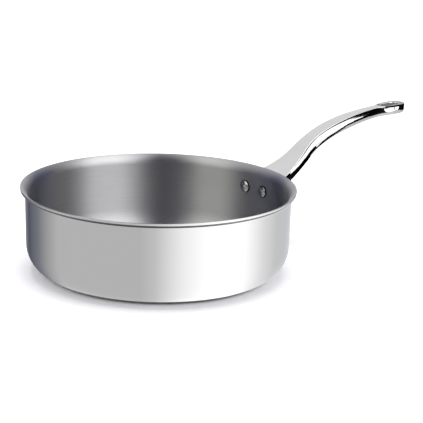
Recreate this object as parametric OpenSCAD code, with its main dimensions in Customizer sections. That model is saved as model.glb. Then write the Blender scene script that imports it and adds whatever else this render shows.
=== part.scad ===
// Saucier pan: a bowl of bonded clad sheet with a pouring lip, a cast stick handle and two rivets.
// The origin is the centre of the base's underside, +Z is up and the handle points along +X.

/* [Bowl] */
// Inside diameter of the bowl at the top of its wall
bowl_d = 240; // [210:1:280]
// Height from the base's underside to the top of the rim
bowl_h = 81; // [74:0.5:100]
// Lean of the wall away from upright, in degrees
wall_lean = 1.4; // [0.6:0.1:3]
// Outer radius of the corner between base and wall
corner_r = 28.5; // [18:0.5:32]
// Radius of the pouring lip's bend, on its outer side
lip_r = 7; // [5:0.5:9]
// Angle through which the pouring lip turns outward, in degrees
lip_turn = 72; // [55:1:80]

/* [Clad sheet] */
// Thickness of the stainless cooking layer
cook_t = 0.4; // [0.3:0.05:0.6]
// Thickness of each pure aluminium bonding layer
bond_t = 0.25; // [0.2:0.05:0.4]
// Thickness of the aluminium alloy core
core_t = 1.2; // [1:0.1:2.4]
// Thickness of the magnetic stainless outer shell
shell_t = 0.4; // [0.3:0.05:0.6]

/* [Handle flange] */
// Width of the flange that is riveted to the wall
flange_w = 50; // [46:1:60]
// Height of the flange
flange_h = 27; // [26:1:32]
// Thickness of the flange
flange_t = 4.5; // [3:0.25:6]
// Radius of the flange's corners
flange_corner = 5; // [2:0.5:5.5]
// Distance from the top of the straight wall down to the flange
flange_drop = 1.5; // [0.5:0.25:4]

/* [Handle arm] */
// Distance from the wall to the handle's tip
reach = 197; // [170:1:240]
// Height of the handle's end above the rim
rise = 39.6; // [25:0.2:55]
// Distance from the wall to the steepest place of the arm
knee_reach = 56; // [50:1:64]
// Height of the steepest place above the rim
knee_rise = 12; // [6:0.1:16]
// Slope of the arm at its steepest place, in degrees
knee_slope = 40; // [30:1:46]
// Distance from the flange's side in to the edge of the arm's top
root_inset = 2.5; // [2.5:0.25:4]
// Width of the arm's top along the neck
neck_w = 15; // [13:0.5:20]
// Width of the arm's top at the waist before the pad
waist_w = 9.6; // [8:0.2:13]
// Width of the rounded pad at the end
pad_w = 18; // [16:0.5:24]
// Distance from the wall to the neck
neck_reach = 75; // [66:1:90]
// Depth of the arm where it meets the flange
root_t = 25; // [20:0.5:26]
// Depth of the arm along the neck
neck_t = 14; // [12:0.5:18]
// Depth of the arm at its end
end_t = 10; // [8:0.5:13]
// Outward lean of the arm's sides at the waist, in degrees
side_lean = 5; // [0:0.5:7]
// Width of the web between the rivets, under the flared top
web_w = 12.6; // [9:0.2:14]
// Thickness of the flared top over the rivets
hood_t = 3.6; // [2.5:0.1:4]

/* [Hang hole] */
// Width of the hang hole
slot_w = 10.4; // [7:0.2:11]
// Length of the hang hole
slot_l = 24.5; // [16:0.5:30]
// Metal left between the hang hole and the tip
slot_edge = 7.2; // [5:0.2:10]

/* [Rivets] */
// Distance between the two rivets' axes
rivet_gap = 25.5; // [24:0.5:30]
// Distance from the flange's top down to the rivets
rivet_drop = 10.5; // [10:0.25:14]
// Diameter of a rivet's shank
shank_d = 6.4; // [5:0.2:7]
// Diameter of the domed head inside the bowl
head_d = 11.6; // [9:0.2:13]
// Height of the domed head
head_h = 2.4; // [1.6:0.1:3.2]
// Diameter of the peened tail outside the flange
tail_d = 9.6; // [8:0.2:10]
// Height of the peened tail
tail_h = 1.8; // [1.2:0.1:2.4]
// Thickness of a head's or tail's edge
brim_t = 0.6; // [0.4:0.1:0.8]

/* [Hidden] */
$fn = 96;

// Depths below the outside of the sheet at which its layers meet
shell_in = shell_t;
lower_bond_in = shell_in + bond_t;
core_in = lower_bond_in + core_t;
upper_bond_in = core_in + bond_t;
wall_t = upper_bond_in + cook_t;

// Centres of the lip's bend and of the corner's bend, in the plane of radius and height
lip_x = bowl_d / 2 + (lip_r + wall_t) * cos(wall_lean);
lip_z = bowl_h - (lip_r + wall_t) * sin(lip_turn);
corner_z = corner_r;
corner_x = lip_x - (lip_r + corner_r + sin(wall_lean) * (lip_z - corner_z)) / cos(wall_lean);
bend_steps = 20;

// Top end of the straight wall at a depth into the sheet, and the wall's radius at a height
function wall_top(depth) = [lip_x, lip_z] - (lip_r + depth) * [cos(wall_lean), -sin(wall_lean)];
function wall_r(z, depth) = wall_top(depth)[0] - (wall_top(depth)[1] - z) * tan(wall_lean);

// Places of the flange and the rivets
flange_top = wall_top(0)[1] - flange_drop;
rivet_z = flange_top - rivet_drop;
rivet_turn = asin(rivet_gap / 2 / wall_r(rivet_z, 0));
tail_gap = 0.5;
band_over = 6;

// Places along the arm: where it starts in the flange, its neck, waist and pad
arm_drop = 1.2;
taper_gap = 17;
waist_gap = 31.5;
waist_run = 10;
flank_l = 23;
web_reach = 78;
root_w = flange_w - 2 * root_inset;
wall_x = wall_r(flange_top, 0);
arm_x = wall_x + flange_t / 3;
arm_z = flange_top - arm_drop;
knee = [wall_x + knee_reach, bowl_h + knee_rise];
tip_x = wall_x + reach;
pad_x = tip_x - pad_w / 2;
pad_z = bowl_h + rise;
neck_x = wall_x + neck_reach;
taper_x = neck_x + taper_gap;
waist_x = pad_x - waist_gap;
slot_x = tip_x - slot_edge - slot_l / 2;

// The arm's top line is two cubic curves that meet at the knee, each drawn by its ends' pulls
root_pull = 22;
below_pull = 16;
above_pull = 46;
pad_pull = 16.5;
knee_dir = [cos(knee_slope), sin(knee_slope)];
rise_curve = [[arm_x, arm_z], [arm_x + root_pull, arm_z], knee - below_pull * knee_dir, knee];
reach_curve = [knee, knee + above_pull * knee_dir, [pad_x - pad_pull, pad_z], [pad_x, pad_z]];
rise_steps = 18;
reach_steps = 30;
tip_steps = 9;
tip_angle = 84;
tip_thinning = 0.45;
side_steps = 9;
round_power = 5;
flare_power = 0.78;
depth_power = 1.4;

function ease(s) = let (c = min(1, max(0, s))) c * c * (3 - 2 * c);
function between(a, b, x) = ease((x - a) / (b - a));
function on_curve(p, t) = pow(1 - t, 3) * p[0] + 3 * t * pow(1 - t, 2) * p[1]
    + 3 * t * t * (1 - t) * p[2] + pow(t, 3) * p[3];
function along_curve(p, t) = pow(1 - t, 2) * (p[1] - p[0]) + 2 * t * (1 - t) * (p[2] - p[1])
    + t * t * (p[3] - p[2]);

// Half of the top's width, and the depth, at a distance from the axis
function share(a, b, x) = min(1, max(0, (x - a) / (b - a)));
function flare(x) = 1 - ease(pow(share(arm_x, neck_x, x), flare_power));
function half_w(x) = (neck_w + (root_w - neck_w) * flare(x)
    - (neck_w - waist_w) * between(taper_x, waist_x + waist_run, x)
    + (pad_w - waist_w) * between(waist_x, waist_x + flank_l, x)) / 2;
function depth_at(x) = neck_t + (root_t - neck_t) * pow(flare(x), depth_power)
    - (neck_t - end_t) * share(knee[0], waist_x, x);

function lean_at(x) = side_lean * (between(knee[0], waist_x, x)
    - between(waist_x + flank_l / 2, pad_x, x));

// A station is [x, top height, tilt, half width, depth, lean of the sides]
function curve_station(p, t) = let (c = on_curve(p, t), d = along_curve(p, t))
    [c[0], c[1], atan2(d[1], d[0]) * between(arm_x, knee[0], c[0]), half_w(c[0]), depth_at(c[0]),
    lean_at(c[0])];
function tip_station(a) = [pad_x + pad_w / 2 * sin(a), pad_z, 0, pad_w / 2 * cos(a),
    end_t * (1 - tip_thinning + tip_thinning * cos(a)), 0];
stations = [
    for (i = [0 : rise_steps]) curve_station(rise_curve, i / rise_steps),
    for (i = [1 : reach_steps]) curve_station(reach_curve, i / reach_steps),
    for (i = [1 : tip_steps]) tip_station(tip_angle * i / tip_steps)
];

// Half a section runs from the top's edge to the middle of the underside, as [y, depth]:
// rounded along the arm, and at the flange a thin top, a fillet and a web with a rounded foot
function round_half(w, t, lean) = [for (i = [0 : side_steps])
    let (a = 90 * i / side_steps, d = t * pow(sin(a), 2 / round_power))
    [(w + d * tan(lean)) * pow(cos(a), 2 / round_power), d]];
function web_half(w, t) = let (b = web_w / 2, h = hood_t) [[w, 0], [w, 0.6 * h], [w - 0.5 * h, h],
    [(w + b) / 2, h], [b + 1.5, h + 0.4], [b, h + 2], [b, (h + t) / 2], [b, t - 0.7 * b],
    [0.7 * b, t - 0.25 * b], [0, t]];
function half_section(s) = let (m = between(wall_x + flange_t + tail_h, wall_x + web_reach, s[0]))
    m * round_half(s[3], s[4], s[5]) + (1 - m) * web_half(s[3], s[4]);
function section(s) = let (h = half_section(s))
    [for (i = [0 : 2 * side_steps]) i <= side_steps ? h[i]
        : [-h[2 * side_steps - i][0], h[2 * side_steps - i][1]]];
function ring(s) = [for (p = section(s))
    [s[0] + p[1] * sin(s[2]), p[0], s[1] - p[1] * cos(s[2])]];

// The sheet's line at a depth, from the axis out along the base, up the wall and over the lip
function sheet_line(depth) = concat([[0, depth]],
    [for (i = [0 : bend_steps]) let (a = 90 + (wall_lean - 90) * i / bend_steps)
        [corner_x, corner_z] + (corner_r - depth) * [cos(a), -sin(a)]],
    [for (i = [0 : bend_steps]) let (a = wall_lean + (lip_turn - wall_lean) * i / bend_steps)
        [lip_x, lip_z] - (lip_r + depth) * [cos(a), -sin(a)]]);

// One layer of the sheet lies between its lines at two depths
module layer_profile(d0, d1) {
    outer = sheet_line(d0);
    inner = sheet_line(d1);
    last = len(inner) - 1;
    polygon(concat(outer, [for (i = [0 : last]) inner[last - i]]));
}

// A cone-shaped band that follows the straight wall between two depths
module wall_band(d0, d1) {
    z0 = corner_z;
    z1 = bowl_h;
    rotate_extrude() polygon([[wall_r(z0, d0), z0], [wall_r(z1, d0), z1],
        [wall_r(z1, d1), z1], [wall_r(z0, d1), z0]]);
}

// Moves a shape that lies along +Z onto a rivet's axis, which points away from the bowl
module on_rivet(side, r) {
    rotate([0, 0, side * rivet_turn]) translate([r, 0, rivet_z]) rotate([0, 90, 0]) children();
}

module rivet_holes() {
    for (side = [-1, 1]) on_rivet(side, bowl_d / 2 - band_over)
        cylinder(d = shank_d, h = 3 * band_over);
}

module sheet_layer(d0, d1) {
    difference() {
        rotate_extrude() layer_profile(d0, d1);
        rivet_holes();
    }
}

// A domed button of a diameter and height, with a straight stem below it
module button(d, h, stem) {
    dome_r = (pow(d / 2, 2) + pow(h - brim_t, 2)) / (2 * (h - brim_t));
    rotate_extrude() {
        intersection() {
            translate([0, h - dome_r]) circle(dome_r);
            square([d / 2, h]);
        }
        translate([0, -stem]) square([d / 2, stem]);
    }
}

module rivet(side) {
    head_r = wall_r(rivet_z, wall_t);
    tail_r = wall_r(rivet_z, -flange_t);
    on_rivet(side, head_r - brim_t) cylinder(d = shank_d, h = tail_r - head_r + 2 * brim_t);
    difference() {
        on_rivet(side, head_r) mirror([0, 0, 1]) button(head_d, head_h, brim_t);
        wall_band(-flange_t, wall_t);
    }
    difference() {
        on_rivet(side, tail_r) button(tail_d, tail_h, brim_t);
        wall_band(-flange_t, wall_t);
    }
}

module flange() {
    r = flange_corner;
    intersection() {
        translate([wall_x - 2 * band_over, 0, flange_top - flange_h / 2])
            rotate([90, 0, 90]) linear_extrude(4 * band_over) {
                square([flange_w - 2 * r, flange_h], center = true);
                square([flange_w, flange_h - 2 * r], center = true);
                for (y = [-1, 1], z = [-1, 1])
                    translate([y * (flange_w / 2 - r), z * (flange_h / 2 - r)]) circle(r);
            }
        wall_band(-flange_t, 0);
    }
}

module arm() {
    rings = [for (s = stations) ring(s)];
    n = 2 * side_steps + 1;
    last = n * (len(rings) - 1);
    skin = [for (k = [0 : len(rings) - 2], i = [0 : n - 1], half = [0, 1])
        let (a = k * n + i, b = k * n + (i + 1) % n)
        half == 0 ? [a, b + n, a + n] : [a, b, b + n]];
    root_cap = [[for (i = [n - 1 : -1 : 0]) i]];
    tip_cap = [[for (i = [0 : n - 1]) last + i]];
    polyhedron([for (r = rings) each r], concat(skin, root_cap, tip_cap));
}

module hang_hole() {
    run = (slot_l - slot_w) / 2;
    translate([slot_x, 0, pad_z - 2 * end_t]) linear_extrude(3 * end_t) {
        square([2 * run, slot_w], center = true);
        for (side = [-1, 1]) translate([side * run, 0]) circle(d = slot_w);
    }
}

// Room around the rivets' tails, outside the flange
module tail_room() {
    difference() {
        for (side = [-1, 1]) on_rivet(side, wall_r(rivet_z, 0))
            cylinder(d = tail_d + 2 * tail_gap, h = flange_t + tail_h + tail_gap);
        wall_band(-flange_t, wall_t);
    }
}

module cooking_layer() { color("gainsboro") sheet_layer(upper_bond_in, wall_t); }

module upper_bond_layer() { color("lightsteelblue") sheet_layer(core_in, upper_bond_in); }

module core_layer() { color("slategray") sheet_layer(lower_bond_in, core_in); }

module lower_bond_layer() { color("lightsteelblue") sheet_layer(shell_in, lower_bond_in); }

module outer_shell() { color("silver") sheet_layer(0, shell_in); }

module handle() {
    color("lightgray") difference() {
        union() {
            flange();
            arm();
        }
        rivet_holes();
        tail_room();
        hang_hole();
    }
}

module rivet_left() { color("white") rivet(1); }

module rivet_right() { color("white") rivet(-1); }

cooking_layer();
upper_bond_layer();
core_layer();
lower_bond_layer();
outer_shell();
handle();
rivet_left();
rivet_right();
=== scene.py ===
"""Looks of a clad saucier pan: satin bowl, polished outside, cast handle and rivets, in a white studio."""

import math

import bpy
from mathutils import Matrix, Vector


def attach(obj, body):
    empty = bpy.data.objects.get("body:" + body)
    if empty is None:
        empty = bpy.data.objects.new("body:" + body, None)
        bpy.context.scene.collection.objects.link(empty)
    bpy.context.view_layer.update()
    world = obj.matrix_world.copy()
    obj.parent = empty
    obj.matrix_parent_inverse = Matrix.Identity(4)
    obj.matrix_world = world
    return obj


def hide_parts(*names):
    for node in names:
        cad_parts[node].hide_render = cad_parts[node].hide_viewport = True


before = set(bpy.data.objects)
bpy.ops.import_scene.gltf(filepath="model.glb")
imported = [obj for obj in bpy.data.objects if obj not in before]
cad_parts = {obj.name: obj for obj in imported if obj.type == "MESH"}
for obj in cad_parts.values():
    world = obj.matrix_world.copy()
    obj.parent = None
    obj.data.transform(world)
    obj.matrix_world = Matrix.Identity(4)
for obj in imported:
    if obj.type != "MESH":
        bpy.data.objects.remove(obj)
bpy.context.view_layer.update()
MM = 0.001

# Sizes in millimetres and degrees, as in the part's source
BOWL_D, BOWL_H, WALL_LEAN, CORNER_R, LIP_R, LIP_TURN = 240, 81, 1.4, 28.5, 7, 72
LAYER_DEPTHS = [0, 0.4, 0.65, 1.85, 2.1, 2.5]
WALL_T = LAYER_DEPTHS[-1]
FLANGE_W, FLANGE_H, FLANGE_T, FLANGE_CORNER, FLANGE_DROP = 50, 27, 4.5, 5, 1.5
REACH, RISE, KNEE_REACH, KNEE_RISE, KNEE_SLOPE = 197, 39.6, 56, 12, 40
ROOT_INSET, NECK_W, WAIST_W, PAD_W, NECK_REACH = 2.5, 15, 9.6, 18, 75
ROOT_T, NECK_T, END_T, SIDE_LEAN, WEB_W, HOOD_T = 25, 14, 10, 5, 12.6, 3.6
SLOT_W, SLOT_L, SLOT_EDGE = 10.4, 24.5, 7.2
RIVET_GAP, RIVET_DROP, HEAD_D, HEAD_H, TAIL_D, TAIL_H, BRIM_T = 25.5, 10.5, 11.6, 2.4, 9.6, 1.8, 0.6
ARM_DROP, TAPER_GAP, WAIST_GAP, WAIST_RUN, FLANK_L, WEB_REACH = 1.2, 17, 31.5, 10, 23, 78
ROOT_PULL, BELOW_PULL, ABOVE_PULL, PAD_PULL = 22, 16, 46, 16.5
TIP_ANGLE, TIP_THINNING, ROUND_POWER, FLARE_POWER, DEPTH_POWER = 84, 0.45, 5, 0.78, 1.4

# The photograph's viewpoint
CAM_TURN, CAM_RISE, CAM_DISTANCE, CAM_FOCUS, CAM_ROLL = -40.0, 14.708, 1863.5, 2027.46, 1.0
RIM_CENTRE_PX, IMAGE_PX, SENSOR_MM = (158.7, 186.4), 423, 36

# Steps of the round pieces, of the arm's rise, run and tip, and of the outlines
LATHE_STEPS, RIVET_STEPS = 288, 64
RISE_STEPS, RUN_STEPS, TIP_STEPS = 60, 100, 24
DOME_STEPS, CORNER_STEPS, LIP_STEPS, WALL_STEPS = 16, 40, 28, 8
SHARP_ANGLE = 30

# Small easings that only the looks have
LIP_CUT, LIP_CUT_SLANT, LAYER_EASE = 0.65, 0.35, 0.25
EDGE_ROUND, EDGE_TURNS, TOP_HOLD = 0.45, (0, 22.5, 45, 67.5), 0.5
SIDE_STEPS, SIDE_SPACING = 36, 1.4
PLATE_EASE, HOLE_EASE = 0.9, 0.9
BRIM_EASE = [(0.22, 0.1), (0.08, -0.05), (0, -0.25)]


def sin(a):
    return math.sin(math.radians(a))


def cos(a):
    return math.cos(math.radians(a))


# Bowl

LIP_X = BOWL_D / 2 + (LIP_R + WALL_T) * cos(WALL_LEAN)
LIP_Z = BOWL_H - (LIP_R + WALL_T) * sin(LIP_TURN)
CORNER_X = LIP_X - (LIP_R + CORNER_R + sin(WALL_LEAN) * (LIP_Z - CORNER_R)) / cos(WALL_LEAN)


def wall_top(depth):
    """Upper end of the straight wall, as radius and height, at a depth below the outside."""
    return LIP_X - (LIP_R + depth) * cos(WALL_LEAN), LIP_Z + (LIP_R + depth) * sin(WALL_LEAN)


def wall_r(z, depth):
    """The straight wall's radius at a height and depth."""
    x, top = wall_top(depth)
    return x - (top - z) * math.tan(math.radians(WALL_LEAN))


def arc(x, z, r, start, end, steps):
    """Points of a bend seen from below, from one angle to another."""
    turns = [start + (end - start) * i / steps for i in range(steps + 1)]
    return [(x + r * cos(a), z - r * sin(a)) for a in turns]


def lip_end(depth):
    """The angle at which the lip stops at a depth, so that its cut end stands nearly upright."""
    back = LIP_R * cos(LIP_TURN) + LIP_CUT - LIP_CUT_SLANT * depth / WALL_T
    return math.degrees(math.acos(back / (LIP_R + depth)))


def sheet_line(depth):
    """The sheet's line at a depth: out along the base, up the wall and over the lip."""
    base = [(r, depth) for r in (0, 2, 10, 30, 55, 80)]
    corner = arc(CORNER_X, CORNER_R, CORNER_R - depth, 90, WALL_LEAN, CORNER_STEPS)
    x, z = corner[-1]
    top = wall_top(depth)
    parts = [i / WALL_STEPS for i in range(1, WALL_STEPS)]
    wall = [(x + (top[0] - x) * part, z + (top[1] - z) * part) for part in parts]
    lip = arc(LIP_X, LIP_Z, -(LIP_R + depth), WALL_LEAN, lip_end(depth), LIP_STEPS)
    return base + corner + wall + lip


def rounded(before, corner, after, radius):
    """A small arc in place of a corner, from its side towards one neighbour to the other."""
    u, w = (Vector(before) - Vector(corner)).normalized(), (Vector(after) - Vector(corner)).normalized()
    centre = Vector(corner) + radius * (u + w)
    return [tuple(centre - radius * (cos(a) * w + sin(a) * u)) for a in (0, 15, 30, 45, 60, 75, 90)]


def link(obj):
    """Puts an object in the scene."""
    bpy.context.scene.collection.objects.link(obj)
    return obj


def smooth(mesh):
    """Smooth shading with the edges sharp past an angle."""
    mesh.shade_smooth()
    mesh.set_sharp_from_angle(angle=math.radians(SHARP_ANGLE))


def make_mesh(name, points, faces, material, uvs=None):
    """A smooth shaded object from points in millimetres."""
    mesh = bpy.data.meshes.new(name)
    mesh.from_pydata([Vector(p) * MM for p in points], [], faces)
    if uvs:
        layer = mesh.uv_layers.new(name="UVMap")
        for corner, loop in zip(layer.data, mesh.loops):
            corner.uv = uvs[loop.vertex_index]
    smooth(mesh)
    mesh.materials.append(material)
    return link(bpy.data.objects.new(name, mesh))


def add_piece(obj, slot, *nodes):
    """Makes a mesh part of the object, in place of the CAD nodes that it stands for."""
    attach(obj, "root")
    if nodes:
        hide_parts(*nodes)
    return obj


def lathe(name, line, material, place=None, steps=LATHE_STEPS):
    """Turns a closed line of (radius, height) about the axis, with its length along the line as V."""
    points, uvs, rows, run = [], [], [], 0.0
    for k, (r, z) in enumerate(line):
        if k:
            run += math.dist(line[k - 1], (r, z))
        count = 1 if r < 1e-6 else steps
        rows.append(range(len(points), len(points) + count))
        for i in range(count):
            a = 360 * i / steps
            points.append((r * cos(a), r * sin(a), z))
            uvs.append((i / steps, run * MM))
    faces = []
    for low, high in zip(rows, rows[1:] + rows[:1]):
        if len(low) == 1 and len(high) == 1:
            continue
        for i in range(steps):
            j = (i + 1) % steps
            quad = [low[i % len(low)], low[j % len(low)], high[j % len(high)], high[i % len(high)]]
            faces.append(list(dict.fromkeys(quad)))
    obj = make_mesh(name, points, faces, material, uvs)
    if place is not None:
        obj.data.transform(place)
    return obj


def layer_line(upper, lower, round_upper=0.0, round_lower=0.0):
    """The closed line of one layer of the sheet between two depths, its outermost edges eased."""
    outer, inner = sheet_line(lower), sheet_line(upper)
    if round_lower:
        outer = outer[:-1] + rounded(outer[-2], outer[-1], inner[-1], round_lower)[::-1]
    if round_upper:
        inner = inner[:-1] + rounded(inner[-2], inner[-1], sheet_line(lower)[-1], round_upper)[::-1]
    return outer + inner[::-1]


# Handle

FLANGE_TOP = wall_top(0)[1] - FLANGE_DROP
RIVET_Z = FLANGE_TOP - RIVET_DROP
RIVET_TURN = math.degrees(math.asin(RIVET_GAP / 2 / wall_r(RIVET_Z, 0)))
WALL_X = wall_r(FLANGE_TOP, 0)
ARM_X, ARM_Z = WALL_X + FLANGE_T / 3, FLANGE_TOP - ARM_DROP
KNEE = (WALL_X + KNEE_REACH, BOWL_H + KNEE_RISE)
TIP_X = WALL_X + REACH
PAD_X, PAD_Z = TIP_X - PAD_W / 2, BOWL_H + RISE
NECK_X = WALL_X + NECK_REACH
TAPER_X, WAIST_X = NECK_X + TAPER_GAP, PAD_X - WAIST_GAP
SLOT_X = TIP_X - SLOT_EDGE - SLOT_L / 2
ROOT_W = FLANGE_W - 2 * ROOT_INSET
SLOT_START = SLOT_X - SLOT_L / 2


def share(a, b, x):
    """How far x is on the way from a to b, from 0 to 1."""
    return min(1, max(0, (x - a) / (b - a)))


def between(a, b, x):
    """The same with a gentle start and end."""
    s = share(a, b, x)
    return s * s * (3 - 2 * s)


def flare(x):
    """How much of the root's width and depth is left, from 1 at the flange to 0 at the neck."""
    s = share(ARM_X, NECK_X, x) ** FLARE_POWER
    return 1 - s * s * (3 - 2 * s)


def half_w(x):
    """Half of the top's width."""
    neck = NECK_W + (ROOT_W - NECK_W) * flare(x)
    waist = neck - (NECK_W - WAIST_W) * between(TAPER_X, WAIST_X + WAIST_RUN, x)
    return (waist + (PAD_W - WAIST_W) * between(WAIST_X, WAIST_X + FLANK_L, x)) / 2


def depth_at(x):
    """The arm's depth, from its top to its underside."""
    root = NECK_T + (ROOT_T - NECK_T) * flare(x) ** DEPTH_POWER
    return root - (NECK_T - END_T) * share(KNEE[0], WAIST_X, x)


def lean_at(x):
    """The outward lean of the sides, in degrees."""
    return SIDE_LEAN * (between(KNEE[0], WAIST_X, x) - between(WAIST_X + FLANK_L / 2, PAD_X, x))


def cubic(p, t):
    """A point on a cubic curve and the curve's direction there."""
    a, b, c, d = (Vector(q) for q in p)
    u = 1 - t
    point = u ** 3 * a + 3 * t * u * u * b + 3 * t * t * u * c + t ** 3 * d
    way = u * u * (b - a) + 2 * t * u * (c - b) + t * t * (d - c)
    return point, way


def stations():
    """The arm's sections, from the flange to the tip: x, top height, tilt, half width, depth and lean."""
    d = Vector((cos(KNEE_SLOPE), sin(KNEE_SLOPE)))
    knee = Vector(KNEE)
    rise = [(ARM_X, ARM_Z), (ARM_X + ROOT_PULL, ARM_Z), knee - BELOW_PULL * d, knee]
    run = [knee, knee + ABOVE_PULL * d, (PAD_X - PAD_PULL, PAD_Z), (PAD_X, PAD_Z)]
    made = []
    for curve, steps, first in ((rise, RISE_STEPS, 0), (run, RUN_STEPS, 1)):
        for i in range(first, steps + 1):
            (x, z), way = cubic(curve, i / steps)
            tilt = math.degrees(math.atan2(way[1], way[0])) * between(ARM_X, KNEE[0], x)
            made.append((x, z, tilt, half_w(x), depth_at(x), lean_at(x)))
    for i in range(1, TIP_STEPS + 1):
        a = TIP_ANGLE * i / TIP_STEPS
        depth = END_T * (1 - TIP_THINNING + TIP_THINNING * cos(a))
        made.append((PAD_X + PAD_W / 2 * sin(a), PAD_Z, 0, PAD_W / 2 * cos(a), depth, 0))
    return made


def through(points, t):
    """A smooth curve through points, at a share of the way along them."""
    n = len(points) - 1
    i = min(int(t * n), n - 1)
    f = t * n - i
    p = [Vector(points[min(max(k, 0), n)]) for k in (i - 1, i, i + 1, i + 2)]
    return 0.5 * (2 * p[1] + (p[2] - p[0]) * f + (2 * p[0] - 5 * p[1] + 4 * p[2] - p[3]) * f * f
                  + (3 * p[1] - p[0] - 3 * p[2] + p[3]) * f ** 3)


def web_points(w, t):
    """Half of a flared section: the hood's thin edge, its underside and the web below, as (y, depth)."""
    b, h = WEB_W / 2, HOOD_T
    return [(w, 0), (w, 0.6 * h), (w - 0.5 * h, h), ((w + b) / 2, h), (b + 1.5, h + 0.4), (b, h + 2),
            (b, (h + t) / 2), (b, t - 0.7 * b), (0.7 * b, t - 0.25 * b), (0, t)]


def half_section(x, w, t, lean):
    """Half of a section, from the top's eased edge round to the middle of the underside, as (y, depth)."""
    m = between(WALL_X + FLANGE_T + TAIL_H, WALL_X + WEB_REACH, x)
    web, e = web_points(w, t), min(EDGE_ROUND, 0.4 * w)
    line = [(w - e + e * sin(a), e - e * cos(a)) for a in EDGE_TURNS]
    first_turn = math.degrees(math.asin((e / t) ** (ROUND_POWER / 2)))
    first_share = e / (0.6 * HOOD_T) / (len(web) - 1)
    for i in range(SIDE_STEPS + 1):
        s = (i / SIDE_STEPS) ** SIDE_SPACING
        a = first_turn + (90 - first_turn) * s
        d = t * max(sin(a), 0) ** (2 / ROUND_POWER)
        full = Vector(((w + d * math.tan(math.radians(lean))) * max(cos(a), 0) ** (2 / ROUND_POWER), d))
        p = m * full + (1 - m) * through(web, first_share + (1 - first_share) * s)
        line.append((max(p[0], 0), p[1]))
    return line


# The arm's finishes, in the order of its materials; one of them is painted shade
SIDE, TOP, PAINTED_SHADE, UNDER, PAD = range(5)

# The painted shade, a near-black band below the polished side and over the root under the hood: distance
# from the wall, and the side's downward turn at its edges
PAINTED_SHADE_EDGES = [(0, -90, 95), (24, -90, 95), (27, 0, 95), (44, 7, 80), (52, 8.5, 48), (60, 9, 27),
              (80, 5, 24), (97, 3, 16), (111, -0.8, 3.5), (124, -2.4, 2.5), (137, -3.6, 2), (143, -4.5, 2),
              (147, -9, 2), (164, -9, 2), (166, -2, 2), (169, 2, 2), (182, 2, 3), (185, -3, 5),
              (187, -90, 8), (200, -90, 8)]
# How far before the hang hole the pad's flat starts, and how far past it the top's edge turns dark with
# painted shade
PAD_LEAD, RIM_LAG = 2, 1


def painted_shade_steps(x, half):
    """The steps round a half section at which the painted shade starts and ends."""
    gap = x - WALL_X
    here, ahead = next((a, b) for a, b in zip(PAINTED_SHADE_EDGES, PAINTED_SHADE_EDGES[1:]) if gap < b[0])
    s = share(here[0], ahead[0], gap)
    start, end = (a + (b - a) * s for a, b in zip(here[1:], ahead[1:]))
    side = half[len(EDGE_TURNS) - 1:]
    turns = [math.degrees(math.atan2(a[0] - b[0], b[1] - a[1])) for a, b in zip(side, side[1:])]
    first = next((i for i, t in enumerate(turns) if t > start and i > 1), len(turns))
    return first, next((i for i, t in enumerate(turns) if t > end and i >= first), len(turns))


def finish_at(i, size, x, shade_band):
    """The finish of the i-th face round a ring; the first and the last few faces are the flat top."""
    if i == 0 or i >= size - 4:
        return PAD if x > SLOT_START - PAD_LEAD else TOP
    start, end = shade_band
    down = min(i - len(EDGE_TURNS), size - len(EDGE_TURNS) - 3 - i)
    if down >= end:
        return UNDER
    # Painted shade: the dark band below the polished side, and the top's edge past the hang hole
    return PAINTED_SHADE if down >= start or down < 2 and x > SLOT_START + RIM_LAG else SIDE


def arm_mesh(finishes):
    """The arm as closed rings of points, with a finish for each part of its surface."""
    points, faces, kinds, shade_bands = [], [], [], []
    for x, z, tilt, w, t, lean in stations():
        half = half_section(x, w, t, lean)
        flat = half[0][0]
        hold = max(flat - TOP_HOLD, 0.6 * flat)
        ring = [(hold, 0)] + half + [(-y, d) for y, d in half[-2::-1]] + [(-hold, 0), (0, 0)]
        shade_bands.append(painted_shade_steps(x, half))
        points += [(x + d * sin(tilt), y, z - d * cos(tilt)) for y, d in ring]
    size = len(points) // len(shade_bands)
    for k, shade_band in enumerate(shade_bands[:-1]):
        for i in range(size):
            a, b = k * size + i, k * size + (i + 1) % size
            faces.append((a, b, b + size, a + size))
            kinds.append(finish_at(i, size, points[a][0], shade_band))
    faces += [tuple(range(size))[::-1], tuple(range(len(points) - size, len(points)))]
    kinds += [SIDE, PAINTED_SHADE]
    obj = make_mesh("handle_casting", points, faces, finishes[SIDE])
    for other in finishes[1:]:
        obj.data.materials.append(other)
    for face, kind in zip(obj.data.polygons, kinds):
        face.material_index = kind
    return obj


def outline(w, h, r, steps=8):
    """A rounded rectangle about the origin, as a list of points."""
    made = []
    for cx, cy, start in ((1, 1, 0), (-1, 1, 90), (-1, -1, 180), (1, -1, 270)):
        for i in range(steps + 1):
            a = start + 90 * i / steps
            made.append((cx * (w / 2 - r) + r * cos(a), cy * (h / 2 - r) + r * sin(a)))
    return made


def stack(name, loops, material):
    """A closed piece from loops of the same number of points, its ends closed by faces."""
    size = len(loops[0])
    points = [p for loop in loops for p in loop]
    faces = [(k * size + i, k * size + (i + 1) % size, (k + 1) * size + (i + 1) % size, (k + 1) * size + i)
             for k in range(len(loops) - 1) for i in range(size)]
    faces += [tuple(range(size))[::-1], tuple(range(len(points) - size, len(points)))]
    return make_mesh(name, points, faces, material)


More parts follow.
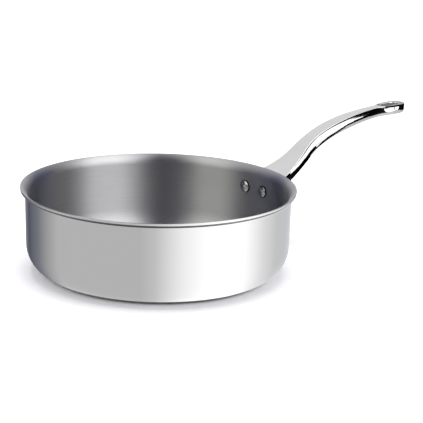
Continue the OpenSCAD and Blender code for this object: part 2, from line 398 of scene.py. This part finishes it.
def flange_mesh(material):
    """The plate against the wall, curved with it, with eased edges."""
    loops = []

    def loop(inset, depth, k=1.0):
        made = []
        for y, z in outline(FLANGE_W - 2 * inset, FLANGE_H - 2 * inset, FLANGE_CORNER - inset):
            y, z = k * y, FLANGE_TOP - FLANGE_H / 2 + k * z
            r = wall_r(z, -depth)
            made.append((math.sqrt(r * r - y * y), y, z))
        loops.append(made)

    for k in (0.02, 0.25, 0.5, 0.75, 0.95):
        loop(0, 0, k)
    loop(0, 0)
    for a in (0, 18, 36, 54, 72, 90):
        loop(PLATE_EASE * (1 - cos(a)), FLANGE_T - PLATE_EASE + PLATE_EASE * sin(a))
    for k in (0.97, 0.85, 0.7, 0.55, 0.4, 0.25, 0.1, 0.02):
        loop(PLATE_EASE, FLANGE_T, k)
    return stack("flange", loops, material)


def hole_mesh(material):
    """The hang hole's shape, opening out a little where it meets the top and the underside."""
    ease, top, low = HOLE_EASE, PAD_Z, PAD_Z - END_T
    levels = [(ease + 0.4, top + 3), (ease, top + 0.001)]
    levels += [(ease * (1 - sin(a)), top - ease * (1 - cos(a))) for a in (15, 30, 45, 60, 75, 90)]
    levels += [(ease * (1 - sin(a)), low + ease * (1 - cos(a))) for a in (90, 75, 60, 45, 30, 15)]
    levels += [(ease, low - 0.001), (ease + 0.4, low - 3)]
    loops = []
    for out, z in levels:
        shape = outline(SLOT_L + 2 * out, SLOT_W + 2 * out, SLOT_W / 2 + out - 0.001, 16)
        loops.append([(SLOT_X + x, y, z) for x, y in shape][::-1])
    return stack("hole", loops, material)


def combine(obj, other, operation):
    """Joins another closed mesh to a piece, or cuts it out, and applies the result."""
    modifier = obj.modifiers.new("combine", "BOOLEAN")
    modifier.operation, modifier.solver, modifier.object = operation, "EXACT", other
    modifier.material_mode = "TRANSFER"
    bpy.context.view_layer.update()
    made = bpy.data.meshes.new_from_object(obj.evaluated_get(bpy.context.evaluated_depsgraph_get()))
    obj.modifiers.clear()
    obj.data = made
    bpy.data.objects.remove(other)
    smooth(made)
    return obj


# Rivets

def button_line(d, h, stem, flat):
    """A domed button's closed line of (radius, height), with an eased brim."""
    rise = h - BRIM_T
    r = ((d / 2) ** 2 + rise ** 2) / (2 * rise)
    top = math.degrees(math.asin(d / 2 / r))
    turns = [top * i / DOME_STEPS for i in range(DOME_STEPS - 1)]
    dome = [(r * sin(a), h - r + r * cos(a)) for a in turns]
    brim = [(d / 2 - inset, BRIM_T + up) for inset, up in BRIM_EASE]
    return dome + brim + [(d / 2, -stem), (flat, -stem), (0, -stem)]


def paint_rim_shade(obj, run, material):
    """Paints shade on the faces past a length along the profile, standing for the shade round a rivet
    head's brim.
    """
    uvs = obj.data.uv_layers[0].data
    obj.data.materials.append(material)
    for face in obj.data.polygons:
        face.material_index = int(min(uvs[i].uv[1] for i in face.loop_indices) > run * MM)


def on_rivet(side, r):
    """Moves a piece that lies along +Z onto a rivet's axis, pointing away from the bowl."""
    turn = Matrix.Rotation(math.radians(side * RIVET_TURN), 4, "Z")
    tip = Matrix.Rotation(math.radians(90), 4, "Y")
    return turn @ Matrix.Translation(Vector((r, 0, RIVET_Z)) * MM) @ tip


# Materials

def new_material(name):
    """A new material, its node tree and its shader."""
    made = bpy.data.materials.new(name)
    made.use_nodes = True
    return made, made.node_tree, made.node_tree.nodes["Principled BSDF"]


def node(tree, kind, *inputs, **settings):
    """A shader node with its settings, and its first inputs set or linked in order."""
    made = tree.nodes.new(kind)
    for key, value in settings.items():
        setattr(made, key, value)
    for socket, value in zip(made.inputs, inputs):
        plug(tree, value, socket)
    return made


def plug(tree, value, socket):
    """Links a node or socket to an input, or sets the input's value."""
    if isinstance(value, bpy.types.Node):
        value = value.outputs[0]
    if isinstance(value, bpy.types.NodeSocket):
        tree.links.new(value, socket)
    elif value is not None:
        socket.default_value = value


def maths(tree, operation, *inputs):
    """A sum in a shader."""
    return node(tree, "ShaderNodeMath", *inputs, operation=operation)


def ramp(tree, value, stops, eased=True):
    """A colour ramp over (position, grey or colour) stops."""
    made = node(tree, "ShaderNodeValToRGB", value)
    made.color_ramp.interpolation = "EASE" if eased else "LINEAR"
    elements = made.color_ramp.elements
    while len(elements) < len(stops):
        elements.new(0.5)
    for element, (at, tone) in zip(elements, stops):
        element.position = at
        element.color = (*tone, 1) if isinstance(tone, tuple) else (tone, tone, tone, 1)
    return made


def spread(tree, value, low, high, to_low, to_high):
    """A value's range laid on another, with its ends held."""
    return node(tree, "ShaderNodeMapRange", value, low, high, to_low, to_high)


def round_lines(tree, around, across):
    """Coordinates that run slowly round the bowl's axis and quickly across the brushing."""
    place = node(tree, "ShaderNodeTexCoord").outputs["Object"]
    xyz = node(tree, "ShaderNodeSeparateXYZ", place)
    level = node(tree, "ShaderNodeVectorMath", place, (1, 1, 0), operation="MULTIPLY")
    radius = node(tree, "ShaderNodeVectorMath", level, operation="LENGTH").outputs["Value"]
    turn = node(tree, "ShaderNodeVectorMath", level, operation="NORMALIZE")
    line = maths(tree, "SUBTRACT", maths(tree, "MULTIPLY", xyz.outputs["Z"], across),
                 maths(tree, "MULTIPLY", radius, across))
    flat = node(tree, "ShaderNodeVectorMath", turn, (around, around, 0), operation="MULTIPLY")
    lift = node(tree, "ShaderNodeCombineXYZ", 0, 0, line)
    return node(tree, "ShaderNodeVectorMath", flat, lift, operation="ADD")


def noise(tree, vector, scale, detail, rough):
    """Noise over the given coordinates."""
    made = node(tree, "ShaderNodeTexNoise")
    plug(tree, vector, made.inputs["Vector"])
    made.inputs["Scale"].default_value = scale
    made.inputs["Detail"].default_value = detail
    made.inputs["Roughness"].default_value = rough
    return made


def metal(name, colour, rough, rough_spread, grain, grain_height, coordinates, anisotropy=0.0,
          tone_spread=1.0):
    """A bare metal with a grain that varies its roughness, tone and level."""
    made, tree, shader = new_material(name)
    vector = coordinates(tree)
    fine = noise(tree, vector, grain, 3.0, 0.6)
    shader.inputs["Metallic"].default_value = 1.0
    varied = spread(tree, fine, 0.3, 0.7, rough - rough_spread, rough + rough_spread)
    plug(tree, varied, shader.inputs["Roughness"])
    tone = ramp(tree, fine, [(0.25, tuple((1 - 0.07 * tone_spread) * c for c in colour)),
                             (0.75, tuple((1 + 0.05 * tone_spread) * c for c in colour))])
    plug(tree, tone, shader.inputs["Base Color"])
    bump = node(tree, "ShaderNodeBump")
    bump.inputs["Strength"].default_value = 0.6
    bump.inputs["Distance"].default_value = grain_height
    plug(tree, fine, bump.inputs["Height"])
    plug(tree, bump, shader.inputs["Normal"])
    if anisotropy:
        shader.inputs["Anisotropic"].default_value = anisotropy
        shader.inputs["Anisotropic Rotation"].default_value = 0.25
        tangent = node(tree, "ShaderNodeTangent", direction_type="RADIAL", axis="Z")
        plug(tree, tangent, shader.inputs["Tangent"])
    return made


def painted_shade_under_lip(made, back=3.6, blur=0.4):
    """Paints a dark line of shade into the polished outside's colour where it turns into the lip, some way
    back from the profile's end.
    """
    line = sheet_line(0)
    end = sum(math.dist(a, b) for a, b in zip(line, line[1:]))
    tree = made.node_tree
    base = tree.nodes["Principled BSDF"].inputs["Base Color"]
    run = node(tree, "ShaderNodeSeparateXYZ", node(tree, "ShaderNodeUVMap", uv_map="UVMap")).outputs["Y"]
    start = (end - back) * MM
    shade = node(tree, "ShaderNodeMix", data_type="RGBA", blend_type="MULTIPLY")
    plug(tree, spread(tree, run, start, start + blur * MM, 0, 1), shade.inputs[0])
    plug(tree, base.links[0].from_socket, shade.inputs[6])
    shade.inputs[7].default_value = (0.08, 0.08, 0.09, 1)
    plug(tree, shade.outputs[2], base)


def object_place(tree):
    """Coordinates on the object itself."""
    return node(tree, "ShaderNodeTexCoord").outputs["Object"]


def along_handle(tree):
    """Coordinates stretched along the handle, for its brushed top."""
    return node(tree, "ShaderNodeVectorMath", object_place(tree), (0.06, 1.0, 0.06), operation="MULTIPLY")


def brushed_round(tree):
    """The fine brushing round the bowl's two faces."""
    return round_lines(tree, 3, 2600)


def drawn_round(tree):
    """The lines round the inner layers."""
    return round_lines(tree, 6, 3000)


satin = metal("satin_bowl", (0.465, 0.465, 0.475), 0.40, 0.02, 1.0, 0.000002, brushed_round, 1.0)
mirror = metal("polished_outside", (0.63, 0.63, 0.635), 0.05, 0.005, 1.0, 0.0000001, brushed_round,
               tone_spread=0.1)
# Painted shade: a dark line under the lip, multiplied into the polished outside's colour
painted_shade_under_lip(mirror)
pure = metal("bonding_aluminium", (0.80, 0.80, 0.80), 0.30, 0.05, 1.0, 0.000001, drawn_round)
core = metal("core_aluminium", (0.72, 0.73, 0.74), 0.32, 0.05, 1.0, 0.000001, drawn_round)
cast_side = metal("handle_polish", (0.65, 0.65, 0.655), 0.04, 0.005, 260.0, 0.0000002, object_place,
                  tone_spread=0.1)
cast_top = metal("handle_satin", (0.66, 0.66, 0.66), 0.33, 0.03, 1900.0, 0.000002, along_handle)
# Painted shade: a near-black metal that stands for shade and dark reflections on the handle and round the
# rivet heads
painted_shade_metal = metal("handle_painted_shade", (0.006, 0.006, 0.007), 0.30, 0.05, 900.0, 0.000002, object_place)
painted_shade_metal.node_tree.nodes["Principled BSDF"].inputs["Specular Tint"].default_value = (0.1, 0.1, 0.1, 1)
cast_pad = metal("handle_pad", (0.24, 0.27, 0.30), 0.30, 0.05, 900.0, 0.000002, object_place)
cast_under = metal("handle_underside", (0.40, 0.40, 0.40), 0.36, 0.04, 900.0, 0.000002, along_handle)
stud = metal("rivet_polish", (0.62, 0.62, 0.63), 0.18, 0.02, 900.0, 0.000001, object_place)


# Pieces

layers = [
    ("outer_skin", "outer_shell", mirror, "polished_steel", 0, LAYER_EASE),
    ("lower_bond_ply", "lower_bond_layer", pure, "pure_aluminium", 0, 0),
    ("core_ply", "core_layer", core, "core_aluminium", 0, 0),
    ("upper_bond_ply", "upper_bond_layer", pure, "pure_aluminium", 0, 0),
    ("cooking_surface", "cooking_layer", satin, "satin_steel", LAYER_EASE, 0),
]
for k, (name, cad_node, look, slot_name, ease_upper, ease_lower) in enumerate(layers):
    line = layer_line(LAYER_DEPTHS[k + 1], LAYER_DEPTHS[k], ease_upper, ease_lower)
    add_piece(lathe(name, line, look), slot_name, cad_node)

arm = arm_mesh([cast_side, cast_top, painted_shade_metal, cast_under, cast_pad])
combine(arm, flange_mesh(cast_side), "UNION")
combine(arm, hole_mesh(cast_top), "DIFFERENCE")
add_piece(arm, "handle_steel", "handle")

STEM, STEM_FLAT, RIM_DARK = 0.3, 3, 0.6
FLIP = Matrix.Rotation(math.pi, 4, "X")
dome = button_line(HEAD_D, HEAD_H, STEM, STEM_FLAT)
peen = button_line(TAIL_D, TAIL_H, STEM, STEM_FLAT)
for side, word in ((1, "left"), (-1, "right")):
    inside = on_rivet(side, wall_r(RIVET_Z, WALL_T)) @ FLIP
    outside = on_rivet(side, wall_r(RIVET_Z, -FLANGE_T))
    head = lathe("rivet_head_" + word, dome, stud, inside, RIVET_STEPS)
    tail = lathe("rivet_tail_" + word, peen, stud, outside, RIVET_STEPS)
    # Painted shade: a dark ring round the head's brim
    paint_rim_shade(head, HEAD_D / 2 - RIM_DARK, painted_shade_metal)
    add_piece(head, "rivet_steel", "rivet_" + word)
    add_piece(tail, "rivet_steel")


# Studio

# The strongest light that the metal can mirror, and the tones of the dark gaps between the cards
FULL = 3.2
DARK, NAVY, BLUE = (0.003, 0.003, 0.004), (0.02, 0.025, 0.10), (0.03, 0.035, 0.22)
WARM, SLATE, STEEL, HAZE = (1.10, 1.10, 0.80), (0.11, 0.115, 0.16), (0.26, 0.27, 0.31), (0.74, 0.75, 0.79)

# Light round the horizon at each height: degrees right of the camera, and level
LOW = [(-180, 0.8), (-165, 0.3), (-148, SLATE), (-125, STEEL), (-108, 0.52), (-95, 0.69), (-80, 0.70),
       (-15, 0.70), (-2, 0.82), (10, 1.09), (23, 1.36), (37, 1.55), (50, 1.7), (75, 1.7), (87, 1.46),
       (103, 1.1), (123, 0.83), (148, HAZE), (180, 0.8)]
MIDDLE = [(-180, 1.0), (-160, DARK), (160, DARK), (180, 1.0)]
HIGH = [(-180, 1.0), (-158, 1.0), (-143, BLUE), (-104, BLUE), (-90, 0.05), (-74, 0.2), (-64, WARM),
        (-38, WARM), (-28, 0.2), (-16, 0.02), (8, 0.02), (18, 0.3), (28, 1.8), (36, 3.1), (64, 3.1),
        (76, 0.8), (86, 0.12), (108, 0.12), (120, BLUE), (148, BLUE), (160, 1.0), (180, 1.0)]
UPPER = [(-180, 1.0), (-112, 1.0), (-100, 0.9), (-82, 1.7), (-66, 2.1), (-46, 2.0), (-32, 0.6),
         (-22, NAVY), (4, NAVY), (14, 0.3), (27, 2.6), (40, 3.2), (90, 3.2), (104, 1.7), (125, 0.4),
         (150, 0.7), (180, 1.0)]
ZENITH = [(-180, 0.8), (-90, 1.6), (-48, 1.8), (-30, 0.3), (-18, 0.03), (6, 0.03), (24, 1.8), (60, 2.8),
          (115, 2.8), (150, 0.8), (180, 0.8)]
MIDDLE_FROM = (-13.4, -12.9)
ABOVE = [((8, 12), HIGH), ((26, 35), UPPER), ((56, 64), ZENITH)]

# A bright card near the horizon: its level, the heights where it starts, and its top by degrees
STRIP_LEVEL, STRIP_FROM, STRIP_BLUR, STRIP_FLOOR = 1.9, (-15.3, -14.9), 0.3, -20
STRIP_TOP = [(50, -20), (52, -5), (58, -4.8), (64, -4), (67, -6.5), (76, -6.5), (78, -12.5),
             (80, -12.5), (81.5, -7.2), (85, -7.4), (88.3, -7.8), (89.8, -7.2), (92, -7.2), (97, 0),
             (109, 0), (112, -20)]


def band(tree, turn, stops):
    """Light round the horizon, as a share of the strongest."""
    tones = [(a, v if isinstance(v, tuple) else (v, v, v)) for a, v in stops]
    shares = [((a + 180) / 360, tuple(c / FULL for c in tone)) for a, tone in tones]
    return ramp(tree, turn, shares, eased=False)


def mix(tree, share_of_b, a, b):
    """A mix of two colours."""
    mixed = node(tree, "ShaderNodeMix", data_type="RGBA")
    for value, socket in zip((share_of_b, a, b), (mixed.inputs[0], mixed.inputs[6], mixed.inputs[7])):
        plug(tree, value, socket)
    return mixed.outputs[2]


def past(tree, value, heights):
    """From 0 below the first height to 1 above the second."""
    return spread(tree, value, *heights, 0, 1)


def directions(tree):
    """A direction's azimuth, the azimuth bent so that a corner takes its wall's tone, and the height."""
    direction = node(tree, "ShaderNodeTexCoord").outputs["Generated"]
    turned = node(tree, "ShaderNodeVectorRotate", direction, rotation_type="Z_AXIS")
    turned.inputs["Angle"].default_value = math.radians(-CAM_TURN)
    xyz = node(tree, "ShaderNodeSeparateXYZ", turned)
    x, y, z = xyz.outputs
    turn = maths(tree, "ARCTAN2", x, maths(tree, "MULTIPLY", y, -1))
    half_turn = maths(tree, "ARCTAN2", x, maths(tree, "SUBTRACT", cos(CAM_RISE), y))
    azimuth = spread(tree, turn, -math.pi, math.pi, 0, 1)
    bent = spread(tree, half_turn, -math.pi / 2, math.pi / 2, 0, 1)
    return azimuth, bent, maths(tree, "DEGREES", maths(tree, "ARCSINE", z))


def strip_share(tree, azimuth, height):
    """Where the bright card shows: 1 on it and 0 off it."""
    tops = [((a + 180) / 360, 1 - h / STRIP_FLOOR) for a, h in STRIP_TOP]
    top = spread(tree, ramp(tree, azimuth, tops, eased=False), 0, 1, STRIP_FLOOR, 0)
    over = maths(tree, "SUBTRACT", height, top)
    below = spread(tree, over, -STRIP_BLUR, STRIP_BLUR, 1, 0)
    return maths(tree, "MULTIPLY", past(tree, height, STRIP_FROM), below)


def world_light():
    """White to the eye, even light on matt things, and cards and dark gaps for the metal to mirror."""
    world = bpy.data.worlds.new("studio")
    bpy.context.scene.world = world
    world.use_nodes = True
    tree = world.node_tree
    tree.nodes.clear()
    azimuth, bent, height = directions(tree)
    seen = mix(tree, past(tree, height, MIDDLE_FROM), band(tree, bent, LOW), band(tree, azimuth, MIDDLE))
    card = STRIP_LEVEL / FULL
    seen = mix(tree, strip_share(tree, azimuth, height), seen, (card, card, card, 1))
    for heights, stops in ABOVE:
        seen = mix(tree, past(tree, height, heights), seen, band(tree, azimuth, stops))
    mirrored = node(tree, "ShaderNodeBackground", seen, FULL)
    even = node(tree, "ShaderNodeBackground", (0.98, 0.98, 1.0, 1), 0.66)
    white = node(tree, "ShaderNodeBackground", (1, 1, 1, 1), 1.0)
    path = node(tree, "ShaderNodeLightPath")
    first = node(tree, "ShaderNodeMixShader", path.outputs["Is Glossy Ray"], even, mirrored)
    last = node(tree, "ShaderNodeMixShader", path.outputs["Is Camera Ray"], first, white)
    plug(tree, last, node(tree, "ShaderNodeOutputWorld").inputs["Surface"])


# The floor in millimetres: its reach, its height, and the disc of it that lies under the pan
FLOOR_R, FLOOR_Z, FLOOR_DISC_R, FLOOR_STEPS = 6000, -0.05, 104, 96


def floor():
    """A pale floor that stays white to the eye around the pan's soft shadow."""
    made = bpy.data.materials.new("pale_floor")
    made.use_nodes = True
    tree = made.node_tree
    tree.nodes.clear()
    path = node(tree, "ShaderNodeLightPath")
    tone = mix(tree, path.outputs["Is Camera Ray"], (0.8, 0.8, 0.82, 1), (1.45, 1.43, 1.46, 1))
    matt = node(tree, "ShaderNodeBsdfDiffuse", tone)
    plug(tree, matt, node(tree, "ShaderNodeOutputMaterial").inputs["Surface"])
    n = FLOOR_STEPS
    turns = [360 * i / n for i in range(n)]
    disc, edge = ([(r * cos(a), r * sin(a), FLOOR_Z) for a in turns] for r in (FLOOR_DISC_R, FLOOR_R))
    around = [(i, (i + 1) % n, n + (i + 1) % n, n + i) for i in range(n)]
    outer = make_mesh("studio_floor", edge + disc, around, made)
    under = make_mesh("studio_floor_under", disc, [tuple(range(n))], made)
    outer.visible_glossy = False


def lamp(name, azimuth, elevation, distance, size, power):
    """A soft lamp that points at the pan; the metal mirrors the studio's cards instead of it."""
    data = bpy.data.lights.new(name, "AREA")
    data.shape, data.size, data.size_y, data.energy = "RECTANGLE", size, size, power
    obj = link(bpy.data.objects.new(name, data))
    way = Vector((sin(azimuth) * cos(elevation), -cos(azimuth) * cos(elevation), sin(elevation)))
    obj.location = Vector((0, 0, 0.05)) + way * distance
    obj.rotation_euler = (-way).to_track_quat("-Z", "Y").to_euler()
    obj.visible_glossy = False


def tipped(a, b, angle):
    """Two square directions, both turned by an angle in radians, the first towards the second."""
    return a * math.cos(angle) + b * math.sin(angle), b * math.cos(angle) - a * math.sin(angle)


def aim_camera():
    """The camera at the photograph's viewpoint, turned so that the rim's centre falls on its pixel."""
    target = Vector((0, 0, BOWL_H)) * MM
    back = Vector((sin(CAM_TURN) * cos(CAM_RISE), -cos(CAM_TURN) * cos(CAM_RISE), sin(CAM_RISE)))
    ahead = -back
    right = ahead.cross(Vector((0, 0, 1))).normalized()
    up = right.cross(ahead)
    roll = math.radians(CAM_ROLL)
    dx, dy = tipped(*(p - IMAGE_PX / 2 for p in RIM_CENTRE_PX), roll)
    up, ahead = tipped(up, ahead, math.atan2(-dy, math.hypot(CAM_FOCUS, dx)))
    right, ahead = tipped(right, ahead, math.atan2(dx, CAM_FOCUS))
    right, up = tipped(right, up, roll)
    data = bpy.data.cameras.new("camera")
    data.sensor_width, data.lens = SENSOR_MM, SENSOR_MM * CAM_FOCUS / IMAGE_PX
    data.clip_start, data.clip_end = 0.05, 50
    camera = link(bpy.data.objects.new("camera", data))
    turn = Matrix((right, up, -ahead)).transposed().to_4x4()
    camera.matrix_world = Matrix.Translation(target + back * CAM_DISTANCE * MM) @ turn
    bpy.context.scene.camera = camera


world_light()
floor()
lamp("key", azimuth=CAM_TURN, elevation=89, distance=1.6, size=1.0, power=12)
aim_camera()
bpy.context.scene.view_settings.view_transform = "Standard"
